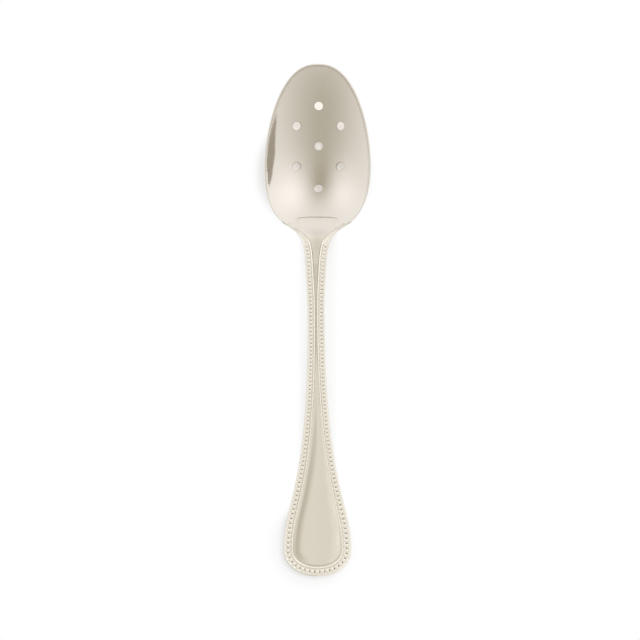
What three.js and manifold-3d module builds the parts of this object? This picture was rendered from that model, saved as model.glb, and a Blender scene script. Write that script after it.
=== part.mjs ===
// Pierced serving spoon with a beaded handle, lying on its back. Millimetres, +Z up, +Y towards the
// tip of the bowl, origin on the table under the middle of the spoon.
import * as THREE from "three";
import { mergeVertices } from "three/addons/utils/BufferGeometryUtils.js";
import Module from "manifold-3d";

// Overall plan. A station is a distance from the tip of the bowl.
const overallLength = 250;
const bowlWidth = 52;
const bowlWidest = 49.5; // station of the widest point
const heelReach = 33.4; // from the widest point to where the egg of the bowl would close
const tipPower = 1.75; // shape of the egg towards the tip
const tipBluntness = 0.42;
const heelPower = 2.4; // shape of the egg towards the heel

// Plan of the handle, as half-widths
const shoulderReach = 29; // from the widest point to where the shoulders leave the egg
const neckHalf = 5;
const neckLength = 20.5; // from the shoulders to the end of the neck
const waistHalf = 4.08;
const swellLength = 115; // from the narrowest point to the widest point
const endHalf = 16.6;
const endRound = 13; // from the widest point of the handle to its end
const endPower = 2.12;

// Heights of the edge above the table
const tipHeight = 10.8;
const rimDip = 2;
const crownHeight = 22.6; // top of the arch at the neck
const crownStation = 99;

// Bowl
const wall = 1.4;
const crossPower = 2; // a parabola across the bowl
const drainDiameter = 4.2;
const drainSpread = 10.6; // from the middle line to a side hole
const drainRows = [
  { station: 20.2, sides: [0] },
  { station: 30.0, sides: [-1, 1] },
  { station: 39.6, sides: [0] },
  { station: 49.7, sides: [-1, 1] },
  { station: 60.3, sides: [0] },
];
const wearDepth = 0.15; // how far the underside is worn flat where it rests

// Lap joint at the heel
const solderGap = 0.12;
const tongueReach = 4.0; // how far the tongue lies above the shoulders, up the heel
const tongueLip = 0.55; // how far the edge of the tongue stands above the inside of the bowl
const cornerLip = 0.22; // the same at the corners of the tongue, which are filed flush
const lipFade = [8.5, 12]; // from the middle line to where the lip starts and ends to fade
const tongueInset = 0.5; // from the side of the bowl to the corner of the tongue
const tabLength = 17.5; // from the shoulders to the end of the tab of the bowl, inside the neck
const tabInset = 0.15; // from the side of the neck to the side of the tab
const tabInsetLength = 3; // over which the inset grows
const uprightReach = 16; // ahead of the tongue, over which the wall's cut turns upright
const lapThickness = 2.2; // of the handle above the tab

// Handle
const waistEdge = 2.1; // thickness at the edge
const waistCrown = 1.5; // extra thickness of the rounded back on the middle line
const endEdge = 1.9;
const endCrown = 0.5;
const panelCrown = 0.5; // how far the panel swells up on the middle line, at the end
const panelPower = 3.5; // more is flatter in the middle and steeper beside the rail
const panelRise = 30; // behind the tongue, over which the panel sinks below the edge
const panelRound = 0.6; // share of the panel's half-width over which it rises from the rail
const cornerRound = 0.25;
const fanReach = 3.5; // from the shoulders to where the lines across the tongue meet
const fanLength = 6; // over which those lines turn square to the handle

// Border: flange, beads and rail, first at the waist and then at the end of the handle
const flangeWidth = [0.55, 0.75];
const beadRadius = [0.935, 1.23];
const beadClearance = 0.09; // on each side of the bead in its channel
const channelSlant = 0.1; // slope of the channel's outer wall, in plan
const railWidth = [1.15, 1.45];
const seatDepth = [0.7, 0.9]; // from the flange down to where the beads and the rail sit
const railRise = 0.35; // how far the rail stands above the flange
const railFade = 0.2; // the same where the rail runs out on the shoulders
const railFadeLength = 4;
const railClearance = 0.06; // on each side of the rail
const railStart = 1.2; // from the corner of the tongue to the first of the rail
const beadStart = 8.2; // from the shoulders to the first bead
const borderStart = 8.8; // from the shoulders to where the border has its full width
const tongueStrips = { flange: 0.3, channel: 0.15, rail: 0.7 }; // widths before the border starts

// Drop under the heel
const dropReach = 13; // from the shoulders towards the tip
const dropTail = 24; // from the shoulders towards the end of the handle
const dropHalf = 5.2;
const dropThickness = 1.1;
const dropNose = 9; // length of the round end towards the tip
const dropPoint = 6; // length of the round end towards the handle
const dropTaper = 0.55; // share of its width that it loses along its length
const dropMargin = 1; // least distance to the side of the neck

// Fineness of the facets
const bowlSteps = 38;
const bowlShares = [0, 0.08, 0.18, 0.32, 0.48, 0.64, 0.79, 0.92, 1]; // from the rim to the middle
const hubOffset = 4; // the lines across the tip half meet this far above the widest point
const handleStations = 84;
const drainFacets = 18;
const outlineFacets = { tongue: 60, shoulder: 80, neck: 40, swell: 120, end: 80 };
const panelShares = [0.22, 0.48, 0.75]; // lines along the panel, from the rail to the middle
const backShares = [1, 0.78, 0.56, 0.34, 0.14]; // lines along the back, from the middle to the edge
const domePoints = 6;
const beadRings = [[-0.55, 0.84], [0.55, 0.84], [1, 0.4]]; // place along a bead and its size there
const beadSearchStep = 0.02;
const dropSteps = 20;

const bowlHalf = bowlWidth / 2;
const shoulder = bowlWidest + shoulderReach;
const neckEnd = shoulder + neckLength;
const widestEnd = overallLength - endRound;
const waist = widestEnd - swellLength;
const waistLength = waist - neckEnd;
const tabEnd = shoulder + tabLength;
const tongueTip = shoulder - tongueReach;

const { lerp, clamp, smoothstep } = THREE.MathUtils;

// Half-width of the egg outline of the bowl at a station
function eggHalf(station) {
  if (station < bowlWidest) {
    const u = clamp((bowlWidest - station) / bowlWidest, 0, 1);
    return bowlHalf * (1 - u ** tipPower) ** tipBluntness;
  }
  const v = clamp((station - bowlWidest) / heelReach, 0, 1);
  return bowlHalf * (1 - v ** heelPower) ** (1 / heelPower);
}

// Outline of the whole spoon on one side, as points (half-width, station), in stretches
const shoulderHalf = eggHalf(shoulder);
const point = (half, station) => new THREE.Vector2(half, station);
const shoulderCurve = new THREE.CubicBezierCurve(
  point(shoulderHalf, shoulder),
  point(lerp(neckHalf, shoulderHalf, 0.22), shoulder + 0.2 * neckLength),
  point(neckHalf + 0.5, shoulder + 0.4 * neckLength),
  point(neckHalf, neckEnd),
);
const neckCurve = new THREE.CubicBezierCurve(
  point(neckHalf, neckEnd),
  point(lerp(waistHalf, neckHalf, 0.6), neckEnd + 0.25 * waistLength),
  point(waistHalf, neckEnd + 0.6 * waistLength),
  point(waistHalf, waist),
);
const swellCurve = new THREE.CubicBezierCurve(
  point(waistHalf, waist),
  point(waistHalf, waist + 0.75 * swellLength),
  point(endHalf, widestEnd - 0.21 * swellLength),
  point(endHalf, widestEnd),
);
const tongueCurve = new THREE.CubicBezierCurve(
  point(0, tongueTip),
  point(0.6 * shoulderHalf, tongueTip - 0.1),
  point(0.78 * shoulderHalf, lerp(tongueTip, shoulder, 0.2)),
  point(shoulderHalf - tongueInset, shoulder - tongueInset / 2),
);

function endCurvePoint(share) {
  const angle = (share * Math.PI) / 2;
  const power = 2 / endPower;
  return point(endHalf * Math.cos(angle) ** power, widestEnd + endRound * Math.sin(angle) ** power);
}

const endShares = Array.from({ length: outlineFacets.end }, (_, i) => (i + 1) / outlineFacets.end);
const endSamples = endShares.map(endCurvePoint);
const stemSamples = [
  ...shoulderCurve.getPoints(outlineFacets.shoulder),
  ...neckCurve.getPoints(outlineFacets.neck).slice(1),
  ...swellCurve.getPoints(outlineFacets.swell).slice(1),
];

// Half-width of the whole spoon at a station
function halfWidth(station) {
  if (station <= shoulder) return eggHalf(station);
  const after = stemSamples.findIndex((p) => p.y >= station);
  if (after < 1) return station > shoulder && after < 0 ? endHalf : shoulderHalf;
  const [a, b] = [stemSamples[after - 1], stemSamples[after]];
  return lerp(a.x, b.x, (station - a.y) / (b.y - a.y));
}

// Height of the edge: one sweep from the tip up to the crown, one from the crown down to the end
const handleDrop = overallLength - crownStation;
const bowlSweep = new THREE.CubicBezierCurve(
  point(0, tipHeight),
  point(0.6 * crownStation, tipHeight - rimDip),
  point(0.85 * crownStation, crownHeight),
  point(crownStation, crownHeight),
);
const handleFall = new THREE.CubicBezierCurve(
  point(crownStation, 1),
  point(crownStation + 0.12 * handleDrop, 1),
  point(crownStation + 0.62 * handleDrop, 0),
  point(overallLength, 0),
);

// The end is as high as lets its worn back just touch the table
const fallSamples = handleFall.getPoints(2 * outlineFacets.end);
const endHeight = Math.max(
  ...fallSamples.slice(outlineFacets.end).map(({ x: station, y: fall }) => {
    const side = clamp((station - widestEnd) / endRound, 0, 1);
    const thickness = endEdge + endCrown * (1 - side ** 2);
    return (thickness - wearDepth - crownHeight * fall) / (1 - fall);
  }),
);
const handleSweep = fallSamples.map((p) => point(p.x, lerp(endHeight, crownHeight, p.y)));
const sweepSamples = [...bowlSweep.getPoints(outlineFacets.swell), ...handleSweep.slice(1)];

function edgeHeight(station) {
  const s = clamp(station, 0, overallLength);
  const after = Math.max(1, sweepSamples.findIndex((p) => p.x >= s - 1e-9));
  const [a, b] = [sweepSamples[after - 1], sweepSamples[after]];
  return lerp(a.y, b.y, (s - a.x) / (b.x - a.x));
}

// The bowl is as deep as lets its worn underside just touch the table
const hollowShare = (half) => (half / bowlHalf) ** crossPower;
const deepStations = Array.from({ length: 60 }, (_, i) => shoulder * (0.2 + (0.6 * i) / 59));
const bowlDepth = Math.min(
  ...deepStations.map((s) => (edgeHeight(s) - wall + wearDepth) / hollowShare(halfWidth(s))),
);

// How far along the handle a station is from the waist's proportions to those of the end
function swellShare(station) {
  if (station < waist) return 0;
  if (station > widestEnd) return 1;
  return (halfWidth(station) - waistHalf) / (endHalf - waistHalf);
}
const along = (pair, station) => lerp(pair[0], pair[1], swellShare(station));

// Front of bowl, heel and handle as one surface, hollow in the bowl and swelling up in the panel;
// side is 0 on the middle line and 1 at the edge
function frontHeight(station, side) {
  const inBowl = bowlDepth * hollowShare(halfWidth(Math.min(station, neckEnd)));
  const inPanel = smoothstep(station, neckEnd, waist + 0.5 * swellLength);
  const depth = lerp(inBowl, -panelCrown, inPanel);
  return edgeHeight(station) - depth * (1 - side ** lerp(crossPower, panelPower, inPanel));
}
const sideOf = (x, station) => clamp(Math.abs(x) / Math.max(halfWidth(station), 1e-6), 0, 1);

// How far the bowl dives under the handle's tongue and neck
function bowlSink(station) {
  const share = smoothstep(station, tongueTip, tabEnd);
  return (lapThickness + solderGap - tongueLip) * share;
}

function lipHeight(x, station) {
  const edge = lerp(tongueLip, cornerLip, smoothstep(Math.abs(x), ...lipFade));
  return edge * (1 - smoothstep(station, tongueTip, tabEnd));
}

function bowlInside(x, station) {
  return frontHeight(station, sideOf(x, station)) - bowlSink(station);
}

// Direction through the wall: square to it in the bowl, straight up in the heel
function wallDirection(x, station) {
  const h = 0.05;
  const slopeX = (bowlInside(x + h, station) - bowlInside(x - h, station)) / (2 * h);
  const slopeS = (bowlInside(x, station + h) - bowlInside(x, station - h)) / (2 * h);
  const square = new THREE.Vector3(-slopeX, slopeS, 1).normalize();
  const upright = smoothstep(station, tongueTip - uprightReach, tongueTip - 1);
  return square.lerp(new THREE.Vector3(0, 0, 1), upright).normalize();
}

// A point at a depth below the inside of the bowl, as half-width, station and height
function belowBowl(x, station, depth) {
  const direction = wallDirection(x, station);
  const z = bowlInside(x, station) - depth * direction.z;
  return [x - depth * direction.x, station + depth * direction.y, z];
}
const yOf = (station) => overallLength / 2 - station;

// A closed body from a list of vertices and quads or triangles, with doubled points joined
function solidMesh(name, vertices, faces, material) {
  const positions = [];
  for (const face of faces) {
    for (let i = 2; i < face.length; i++) {
      for (const corner of [face[0], face[i - 1], face[i]]) positions.push(...vertices[corner]);
    }
  }
  const geometry = new THREE.BufferGeometry();
  geometry.setAttribute("position", new THREE.Float32BufferAttribute(positions, 3));
  return namedMesh(name, dropSlivers(mergeVertices(geometry, 1e-3)), material);
}

function dropSlivers(geometry) {
  const index = geometry.index.array;
  const kept = [];
  for (let i = 0; i < index.length; i += 3) {
    const [a, b, c] = [index[i], index[i + 1], index[i + 2]];
    if (a !== b && b !== c && c !== a) kept.push(a, b, c);
  }
  geometry.setIndex(kept);
  return geometry;
}

function namedMesh(name, geometry, material) {
  geometry.computeVertexNormals();
  const mesh = new THREE.Mesh(geometry, material);
  mesh.name = name;
  return mesh;
}

// Boolean cuts
const wasm = await Module();
wasm.setup();

function toSolid(geometry) {
  const bare = geometry.clone();
  bare.deleteAttribute("normal");
  bare.deleteAttribute("uv");
  const merged = mergeVertices(bare, 1e-4);
  const vertProperties = merged.attributes.position.array;
  return new wasm.Manifold(new wasm.Mesh({ numProp: 3, vertProperties, triVerts: merged.index.array }));
}

function fromSolid(solid) {
  const mesh = solid.getMesh();
  const geometry = new THREE.BufferGeometry();
  geometry.setAttribute("position", new THREE.BufferAttribute(mesh.vertProperties, 3));
  geometry.setIndex(new THREE.BufferAttribute(mesh.triVerts, 1));
  return geometry;
}

// A line across the bowl, from its rim to the middle line, by the station of its outer end
function bowlLine(station) {
  const hub = bowlWidest - hubOffset;
  const level = bowlWidest + hubOffset;
  const inset = tabInset * smoothstep(station, shoulder, shoulder + tabInsetLength);
  const x = Math.max(0, halfWidth(station) - inset);
  const start = point(x, station);
  for (let pass = 0; pass < 3; pass++) {
    const direction = wallDirection(start.x, start.y);
    start.set(x + wall * direction.x, station - wall * direction.y);
  }
  if (station > level) return { start, end: point(0, station) };
  if (station < bowlWidest) return { start, end: point(0, hub) };
  return { start, end: point(0, lerp(hub, level, (station - bowlWidest) / (level - bowlWidest))) };
}

function bowlSection(station) {
  const { start, end } = bowlLine(station);
  const place = (share, depth) => {
    const { x, y } = start.clone().lerp(end, share);
    const [half, along, z] = belowBowl(x, y, depth);
    return [half, along, Math.max(z, 0)];
  };
  const inside = bowlShares.map((share) => place(share, 0));
  const outside = bowlShares.map((share) => place(share, wall));
  return [...inside, ...outside.reverse()];
}

function bowlStations() {
  const tipSteps = Math.round(bowlSteps * 0.36);
  const heelSteps = Math.round(bowlSteps * 0.3);
  const tabSteps = bowlSteps - tipSteps - heelSteps;
  const stations = [];
  for (let i = 0; i < tipSteps; i++) {
    stations.push(bowlWidest * (1 - Math.cos((i / tipSteps) * (Math.PI / 2))));
  }
  for (let i = 0; i < heelSteps; i++) {
    stations.push(lerp(bowlWidest, shoulder, 1 - (1 - i / heelSteps) ** 1.3));
  }
  for (let i = 0; i <= tabSteps; i++) stations.push(lerp(shoulder, tabEnd, i / tabSteps));
  return stations;
}

function bowlMesh() {
  const sections = bowlStations().map(bowlSection);
  for (const corner of sections[0]) corner[0] = 0;
  const inner = bowlShares.length - 1;
  const shell = leafMesh("shell", sections, inner, inner + 1, silver());
  let body = toSolid(shell.geometry);
  for (const row of drainRows) {
    for (const side of row.sides) body = body.subtract(drainCutter(side * drainSpread, row.station));
  }
  return namedMesh("bowl", fromSolid(body), silver());
}

// A drain is drilled square to the wall
function drainCutter(x, station) {
  const direction = wallDirection(x, station);
  const cutter = new THREE.CylinderGeometry(drainDiameter / 2, drainDiameter / 2, 8 * wall, drainFacets);
  const turn = new THREE.Quaternion().setFromUnitVectors(new THREE.Vector3(0, 1, 0), direction);
  cutter.applyQuaternion(turn);
  cutter.translate(x, yOf(station), bowlInside(x, station));
  return toSolid(cutter);
}

// Outline of the handle: along the edge of the tongue, down the side and round to the end
const handleOutline = [
  ...tongueCurve.getPoints(outlineFacets.tongue),
  ...stemSamples.slice(4),
  ...endSamples,
];
const outlineLength = [0];
handleOutline.forEach((p, i) => {
  if (i) outlineLength.push(outlineLength[i - 1] + p.distanceTo(handleOutline[i - 1]));
});
const wholeLength = outlineLength[outlineLength.length - 1];
const tongueEdge = outlineLength[outlineFacets.tongue];

// Point of the handle's outline at a length along it, with the direction square to it
function outlineAt(length) {
  const a = clamp(length, 0, wholeLength);
  const after = Math.max(1, outlineLength.findIndex((l) => l >= a - 1e-9));
  const [p, q] = [handleOutline[after - 1], handleOutline[after]];
  const share = (a - outlineLength[after - 1]) / (outlineLength[after] - outlineLength[after - 1]);
  const place = p.clone().lerp(q, share);
  const run = handleOutline[Math.min(after + 1, handleOutline.length - 1)]
    .clone()
    .sub(handleOutline[Math.max(after - 2, 0)])
    .normalize();
  return { place, inward: new THREE.Vector2(-run.y, run.x) };
}

// Where a line from the edge meets the middle line: fans at the tongue and at the end
const fanTop = shoulder + fanReach;
const fanLevel = fanTop + fanLength;

function spineStation(place) {
  if (place.y > widestEnd) return widestEnd;
  if (place.y > fanLevel) return place.y;
  if (place.y < shoulder) return fanTop;
  return lerp(fanTop, fanLevel, (place.y - shoulder) / (fanLevel - shoulder));
}

// A point of the handle at a length along its outline and a distance in from its edge
function inFromEdge(length, distance) {
  const { place, inward } = outlineAt(length);
  const spine = point(0, spineStation(place));
  const across = spine.clone().sub(place);
  const reach = across.length();
  const square = Math.max(0.35, across.normalize().dot(inward));
  const step = Math.min(distance / square, reach);
  const spot = place.clone().addScaledVector(across, step);
  return { x: spot.x, station: spot.y, side: 1 - step / reach, reach: reach * square };
}

// Widths of the border at a length along the outline
function borderAt(length) {
  const { place } = outlineAt(length);
  const station = place.y;
  const full = length < tongueEdge ? 0 : smoothstep(station, shoulder, shoulder + borderStart);
  const radius = along(beadRadius, station);
  return {
    station,
    full,
    radius,
    flange: lerp(tongueStrips.flange, along(flangeWidth, station), full),
    channel: lerp(tongueStrips.channel, channelSlant + 2 * (radius + beadClearance), full),
    rail: lerp(tongueStrips.rail, along(railWidth, station), full),
    seat: along(seatDepth, station) * full,
  };
}

// Height of the front of the handle, on the flange or behind it
function handleFront(spot, seat) {
  const inBowl = spot.station < tabEnd;
  const side = inBowl ? sideOf(spot.x, spot.station) : spot.side;
  return frontHeight(spot.station, side) + lipHeight(spot.x, spot.station) - seat;
}

// Height of the back: on the tab of the bowl, or the handle's own rounded back
function handleBack(spot) {
  const { station } = spot;
  if (station < tabEnd) return bowlInside(spot.x, station) + solderGap;
  const neckEdge = lapThickness + solderGap + wall;
  const settle = smoothstep(station, tabEnd, waist);
  const edge = lerp(neckEdge, lerp(waistEdge, endEdge, swellShare(station)), settle);
  const crown = lerp(0, lerp(waistCrown, endCrown, swellShare(station)), settle);
  const z = edgeHeight(station) - edge - crown * (1 - spot.side ** 2);
  return Math.max(z, 0);
}

function handleLengths() {
  const lengths = [];
  const stops = [
    [0, 0],
    [tongueEdge, 0.12],
    [lengthAtStation(shoulder + 14), 0.3],
    [lengthAtStation(waist + 0.45 * swellLength), 0.5],
    [lengthAtStation(widestEnd), 0.76],
    [wholeLength, 1],
  ];
  for (let i = 0; i <= handleStations; i++) {
    const share = i / handleStations;
    const k = Math.max(1, stops.findIndex((stop) => stop[1] >= share));
    const [from, to] = [stops[k - 1], stops[k]];
    lengths.push(lerp(from[0], to[0], (share - from[1]) / (to[1] - from[1])));
  }
  const step = lengthAtStation(tabEnd);
  const around = lengths.filter((length) => Math.abs(length - step) > 0.5);
  return [...around, step - 0.01, step + solderGap].sort((a, b) => a - b);
}

function lengthAtStation(station) {
  const i = handleOutline.findIndex((p, k) => outlineLength[k] > tongueEdge && p.y >= station);
  const [p, q] = [handleOutline[i - 1], handleOutline[i]];
  return lerp(outlineLength[i - 1], outlineLength[i], (station - p.y) / (q.y - p.y));
}

// One loop of points from the underside of the edge over the front to the middle line and back
function handleSection(length) {
  const border = borderAt(length);
  const ledge = border.flange + channelSlant;
  const panel = border.flange + border.channel + border.rail;
  const { reach } = inFromEdge(length, 0);
  // The panel rises out of its seat towards the bowl, first on the middle line
  const inPanel = (share) => {
    const spot = inFromEdge(length, lerp(Math.min(panel, reach), reach, share));
    const behind = smoothstep(spot.station, fanTop, fanTop + panelRise);
    const risen = (1 - behind) * smoothstep(share, 0, panelRound);
    return [spot.x, spot.station, handleFront(spot, border.seat * (1 - risen))];
  };
  const front = (distance, seat, drop = 0) => {
    const spot = inFromEdge(length, distance);
    return [spot.x, spot.station, handleFront(spot, seat) - drop];
  };
  const back = (distance) => {
    const spot = inFromEdge(length, distance);
    return [spot.x, spot.station, handleBack(spot)];
  };
  const thin = Math.min(cornerRound, 0.4 * (front(0, 0)[2] - back(0)[2]));
  return [
    back(0),
    front(0, 0, thin),
    front(thin, 0),
    front(border.flange, 0),
    front(ledge, border.seat),
    front(Math.min(panel, reach), border.seat),
    ...panelShares.map(inPanel),
    inPanel(1),
    ...backShares.map((share) => back(share * reach)),
  ];
}

// Sections on one side and their mirror images, joined along the middle line
function leafMesh(name, sections, spineFirst, spineLast, material) {
  const last = sections[sections.length - 1];
  const open = last.some((corner) => Math.abs(corner[0]) > 1e-6);
  const vertices = [];
  const faces = [];
  const count = sections[0].length;
  for (const hand of [-1, 1]) {
    const base = vertices.length;
    for (const section of sections) {
      for (const [x, station, z] of section) vertices.push([hand * x, yOf(station), z]);
    }
    for (let i = 0; i + 1 < sections.length; i++) {
      for (let j = 0; j < count; j++) {
        if (j === spineFirst && (j + 1) % count === spineLast) continue;
        const corners = [i * count + j, i * count + ((j + 1) % count)];
        const next = corners.map((corner) => corner + count);
        const face = [corners[0], corners[1], next[1], next[0]].map((corner) => base + corner);
        faces.push(hand > 0 ? face : face.reverse());
      }
    }
    if (open) {
      const start = base + (sections.length - 1) * count;
      for (let j = 0; j < spineFirst; j++) {
        const face = [j, j + 1, count - 2 - j, count - 1 - j].map((corner) => start + corner);
        faces.push(hand > 0 ? face : face.reverse());
      }
    }
  }
  return solidMesh(name, vertices, faces, material);
}

function handleMesh() {
  const sections = handleLengths().map(handleSection);
  for (const end of [sections[0], sections[sections.length - 1]]) {
    for (const corner of end) corner[0] = 0;
  }
  return leafMesh("handle", sections, 9, 10, silver());
}

// A closed tube through rings of points
function tubeMesh(name, rings, material) {
  const count = rings[0].length;
  const faces = [];
  for (let i = 0; i + 1 < rings.length; i++) {
    for (let j = 0; j < count; j++) {
      const k = (j + 1) % count;
      faces.push([i * count + j, (i + 1) * count + j, (i + 1) * count + k, i * count + k]);
    }
  }
  const first = rings[0].map((_, j) => j);
  const last = first.map((j) => (rings.length - 1) * count + j).reverse();
  return solidMesh(name, rings.flat(), [...faces, first, last], material);
}

// Domed section standing on the ledge: flat below, round above
const dome = Array.from({ length: domePoints }, (_, i) => {
  const angle = (Math.PI * i) / (domePoints - 1);
  return [Math.cos(angle), Math.sin(angle)];
});

// Rail: a half-round moulding beside the beads, faded out on the shoulders
function railMesh() {
  const rings = [];
  const lengths = handleLengths().filter((length) => length > tongueEdge + railStart);
  const section = (length, hand) => {
    const border = borderAt(length);
    const start = border.flange + border.channel + railClearance;
    const end = border.flange + border.channel + border.rail - railClearance;
    const faded = 1 - smoothstep(border.station, shoulder, shoulder + railFadeLength);
    const height = border.seat + lerp(railRise, railFade, faded) - solderGap;
    return dome.map(([across, up]) => {
      const distance = lerp(end, start, (1 + across) / 2);
      const spot = inFromEdge(length, distance);
      const z = handleFront(spot, border.seat) + solderGap + up * height;
      return [hand * spot.x, yOf(spot.station), z];
    });
  };
  for (const length of lengths) rings.push(section(length, -1));
  for (const length of lengths.slice(0, -1).reverse()) rings.push(section(length, 1));
  return tubeMesh("rail_border", rings, silver());
}

// Places of the beads on one side, from the one on the middle line at the end up to the neck
function beadPlaces() {
  const first = lengthAtStation(shoulder + beadStart);
  const spotAt = (length) => {
    const border = borderAt(length);
    const middle = border.flange + (channelSlant + border.channel) / 2;
    const spot = inFromEdge(length, middle);
    const sides = [-1, 0, 1].map((hand) => inFromEdge(length, middle + hand * border.radius));
    const z = Math.max(...sides.map((side) => handleFront(side, border.seat))) + solderGap;
    return { place: new THREE.Vector3(spot.x, yOf(spot.station), z), radius: border.radius };
  };
  const places = [spotAt(wholeLength)];
  let last = places[0];
  for (let length = wholeLength; length > first; length -= beadSearchStep) {
    const next = spotAt(length);
    if (next.place.distanceTo(last.place) < next.radius + last.radius) continue;
    places.push(next);
    last = next;
  }
  return places;
}

// Beads: one wire struck into domed beads that touch, bent round the end of the handle
function beadMesh() {
  const side = beadPlaces();
  const mirrored = side.slice(1).map(({ place, radius }) => {
    return { place: place.clone().setX(-place.x), radius };
  });
  const beads = [...mirrored.reverse(), ...side];
  const rings = [];
  beads.forEach(({ place, radius }, i) => {
    const before = beads[Math.max(i - 1, 0)].place;
    const after = beads[Math.min(i + 1, beads.length - 1)].place;
    const run = after.clone().sub(before).normalize();
    const across = new THREE.Vector3().crossVectors(run, new THREE.Vector3(0, 0, 1)).normalize();
    const up = new THREE.Vector3().crossVectors(across, run);
    const [, , [reach, least]] = beadRings;
    const steps = i === 0 ? [[-reach, least], ...beadRings] : beadRings;
    for (const [forward, size] of steps) {
      rings.push(
        dome.map(([a, b]) =>
          place
            .clone()
            .addScaledVector(run, forward * radius)
            .addScaledVector(across, a * size * radius)
            .addScaledVector(up, b * size * radius)
            .toArray(),
        ),
      );
    }
  });
  return tubeMesh("bead_border", rings, silver());
}

// Drop: a long tear of metal under the lap joint, thin at its edge
function dropMesh() {
  const first = shoulder - dropReach;
  const last = shoulder + dropTail;
  const sections = [];
  for (let i = 0; i <= dropSteps; i++) {
    const share = (1 - Math.cos((Math.PI * i) / dropSteps)) / 2;
    const station = lerp(first, last, share);
    const nose = Math.sqrt(clamp((station - first) / dropNose, 0, 1));
    const end = Math.sqrt(clamp((last - station) / dropPoint, 0, 1));
    const tapered = dropHalf * nose * (1 - dropTaper * share ** 1.5);
    const half = end * Math.min(tapered, halfWidth(station) - dropMargin);
    const below = (x, depth) => {
      if (station < tabEnd) return belowBowl(x, station, wall + solderGap + depth);
      const z = handleBack({ x, station, side: sideOf(x, station) });
      return [x, station, z - solderGap - depth];
    };
    const swell = dropThickness * Math.min(1, half / dropHalf + 0.25);
    const top = [1, 0.5, 0].map((share) => below(share * half, 0));
    const bottom = [0, 0.5, 0.85].map((share) => below(share * half, swell * (1 - share ** 2)));
    sections.push([...top, ...bottom]);
  }
  return leafMesh("heel_drop", sections, 2, 3, silver());
}

// Polished silver, a little warm
function silver() {
  return new THREE.MeshStandardMaterial({ color: 0xd6cfc1, metalness: 1, roughness: 0.22 });
}

const spoon = new THREE.Group();
spoon.add(bowlMesh(), handleMesh(), beadMesh(), railMesh(), dropMesh());

export default spoon;
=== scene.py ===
import math

import bmesh
import bpy
import numpy as np
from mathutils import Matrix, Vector
from mathutils.geometry import delaunay_2d_cdt


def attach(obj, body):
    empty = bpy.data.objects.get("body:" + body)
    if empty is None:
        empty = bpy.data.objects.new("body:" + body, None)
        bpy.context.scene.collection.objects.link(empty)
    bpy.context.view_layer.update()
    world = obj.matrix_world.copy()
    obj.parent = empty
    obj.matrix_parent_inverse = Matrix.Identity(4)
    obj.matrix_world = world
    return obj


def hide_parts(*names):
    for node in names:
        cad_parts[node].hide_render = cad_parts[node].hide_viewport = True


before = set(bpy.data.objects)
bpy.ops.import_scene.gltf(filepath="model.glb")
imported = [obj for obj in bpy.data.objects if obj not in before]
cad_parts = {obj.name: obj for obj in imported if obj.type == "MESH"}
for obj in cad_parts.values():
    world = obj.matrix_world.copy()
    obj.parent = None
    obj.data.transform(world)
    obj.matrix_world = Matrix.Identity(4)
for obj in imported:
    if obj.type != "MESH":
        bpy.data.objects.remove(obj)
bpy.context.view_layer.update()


# Bowl: one raised shell of silver, thin and egg-shaped, with seven drain holes drilled square to the
# wall and a rim that is filed round. Its heel runs on as a short tab that lies inside the neck.
# Sizes are in millimetres, and a station is a distance from the tip of the bowl.
LENGTH = 250
BOWL_HALF = 26
WIDEST = 49.5
HEEL_REACH = 33.4
WALL = 1.4
TIP_POWERS, HEEL_POWER, CROSS_POWER = (1.75, 0.42), 2.4, 2.0
WEAR = 0.15
SHOULDER = 78.5
NECK_HALF, NECK_END = 5.0, 99.0
WAIST_HALF, WAIST = 4.08, 122.0
SHOULDER_PULL, NECK_PULL, WAIST_PULL, SWELL_PULL = (0.22, 0.2), (0.5, 0.4), (0.6, 0.25, 0.6), (0.75, 0.21)
SIDE_SOFTNESS = 1.3
END_HALF, WIDEST_END = 16.6, 237.0
TIP_HEIGHT, RIM_DIP, CROWN_HEIGHT, CROWN = 10.8, 2.0, 22.6, 99.0
DIP_PULL, CLIMB_PULL, FALL_PULL = 0.6, 0.85, (0.12, 0.62)
END_EDGE, END_CROWN, PANEL_CROWN, PANEL_POWER = 1.9, 0.5, 0.5, 3.5
TONGUE_TIP, TONGUE_LIP, TAB_END, TAB_INSET = 74.5, 0.55, 96.0, 0.15
LAP, SOLDER = 2.2, 0.12
RIM_ROUND, TAB_ROUND = 0.5, 0.02
DRAIN_RADIUS, DRAIN_SPREAD, DRAIN_EDGE = 2.1, 10.6, 0.12
DRAINS = [(0, 20.2), (-1, 30.0), (1, 30.0), (0, 39.6), (-1, 49.7), (1, 49.7), (0, 60.3)]


def lerp(a, b, share):
    return a + (b - a) * share


def ease(value, low, high):
    share = np.clip((value - low) / (high - low), 0, 1)
    return share * share * (3 - 2 * share)


def swept(points, count=400):
    t = np.linspace(0, 1, count + 1)[:, None]
    a, b, c, d = (np.array(p, float) for p in points)
    return (1 - t) ** 3 * a + 3 * (1 - t) ** 2 * t * b + 3 * (1 - t) * t * t * c + t ** 3 * d


def egg_half(s):
    u = np.clip((WIDEST - s) / WIDEST, 0, 1)
    v = np.clip((s - WIDEST) / HEEL_REACH, 0, 1)
    tip = (1 - u ** TIP_POWERS[0]) ** TIP_POWERS[1]
    return BOWL_HALF * np.where(s < WIDEST, tip, (1 - v ** HEEL_POWER) ** (1 / HEEL_POWER))


def softened(values, step, width):
    reach = int(4 * width / step)
    bell = np.exp(-0.5 * (np.arange(-reach, reach + 1) * step / width) ** 2)
    padded = np.pad(values, reach, mode="edge")
    return np.convolve(padded, bell / bell.sum(), mode="valid")


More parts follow.
